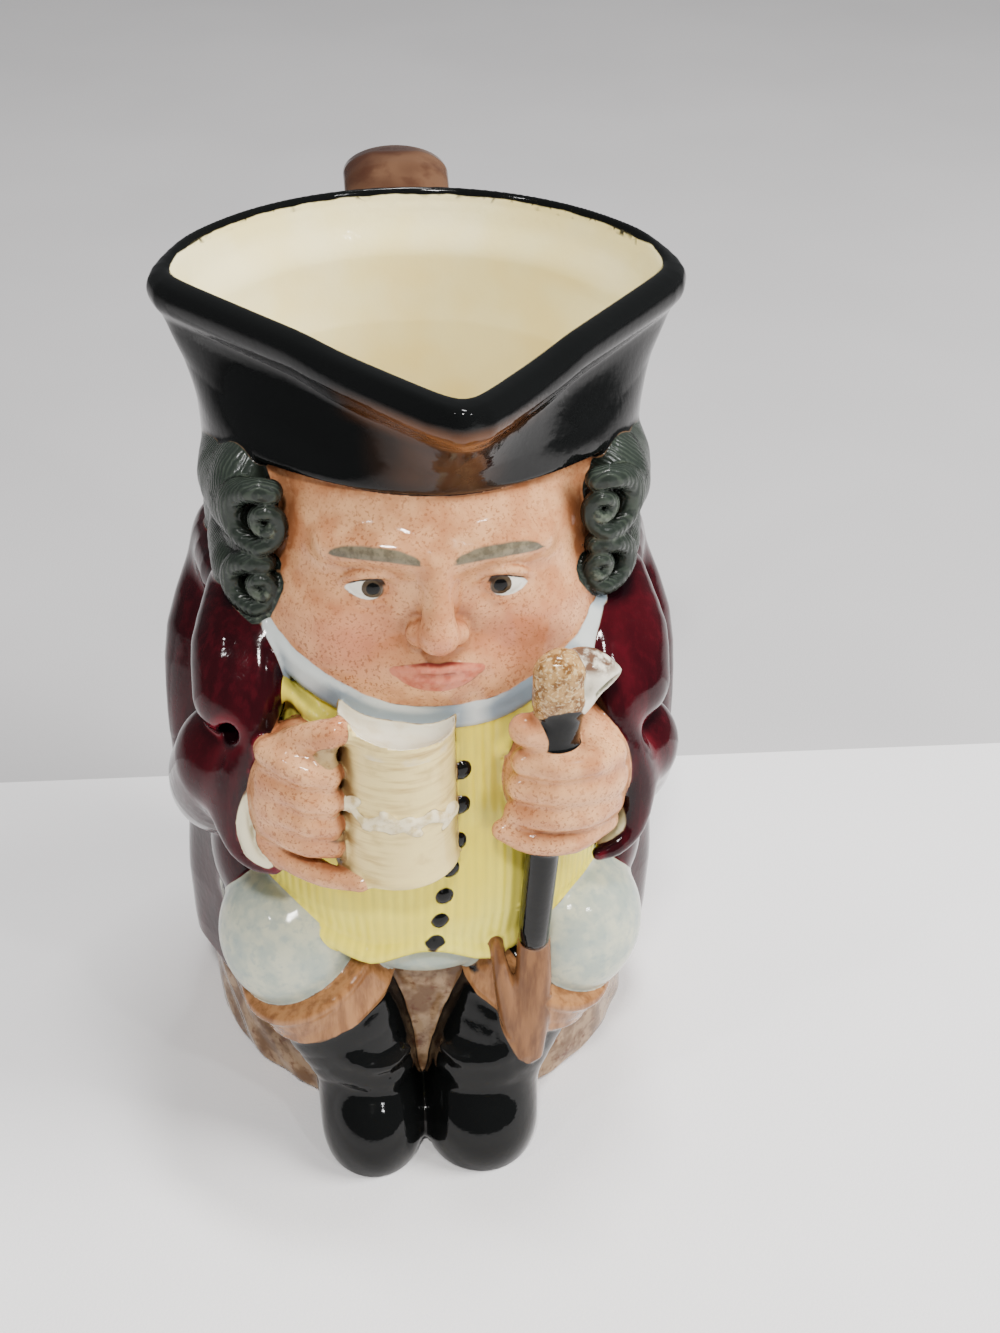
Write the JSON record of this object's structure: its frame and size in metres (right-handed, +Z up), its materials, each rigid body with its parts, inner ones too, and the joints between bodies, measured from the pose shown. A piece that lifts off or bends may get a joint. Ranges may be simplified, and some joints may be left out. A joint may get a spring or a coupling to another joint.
{
  "type": "toby jug",
  "caption": "Glazed pottery toby jug: a seated man in a black three-cornered hat and burgundy coat, holding a mug and a riding crop, with a loop handle behind.",
  "frame": {"origin": "middle of the jug's outline, feet and handle included, on the plane of its foot ring", "axes": "+Z up through the open hat; -Y the way the figure faces; -X towards its right hand and the mug; +Y towards the handle"},
  "size_m": [0.0974, 0.1318, 0.1627],
  "materials": {
    "painted_glaze": "gloss"
  },
  "bodies": {
    "root": {"toby_jug": "painted_glaze"}
  },
  "joints": []
}
